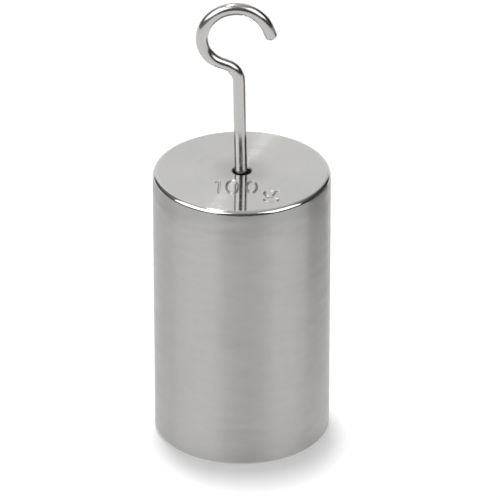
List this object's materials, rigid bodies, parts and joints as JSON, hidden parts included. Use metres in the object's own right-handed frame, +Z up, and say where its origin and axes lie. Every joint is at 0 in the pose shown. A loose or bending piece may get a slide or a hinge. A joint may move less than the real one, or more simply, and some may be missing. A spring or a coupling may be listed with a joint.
{
  "type": "calibration weight",
  "caption": "Cylindrical steel mass with rounded edges and a bent wire hook screwed into its top face, hung or stood on a pan to check a balance or load a spring.",
  "frame": {"origin": "centre of the flat foot, on the surface that the weight stands on", "axes": "+Z up along the cylinder's axis; the hook lies in the XZ plane and its eye opens towards +X"},
  "size_m": [0.0214, 0.0214, 0.0572],
  "materials": {
    "turned_steel": "satin, brushed on the side and fine-turned on the top face",
    "hook_wire": "drawn wire, lightly polished"
  },
  "bodies": {
    "root": {"body": "turned_steel", "hook": "hook_wire"}
  },
  "joints": []
}
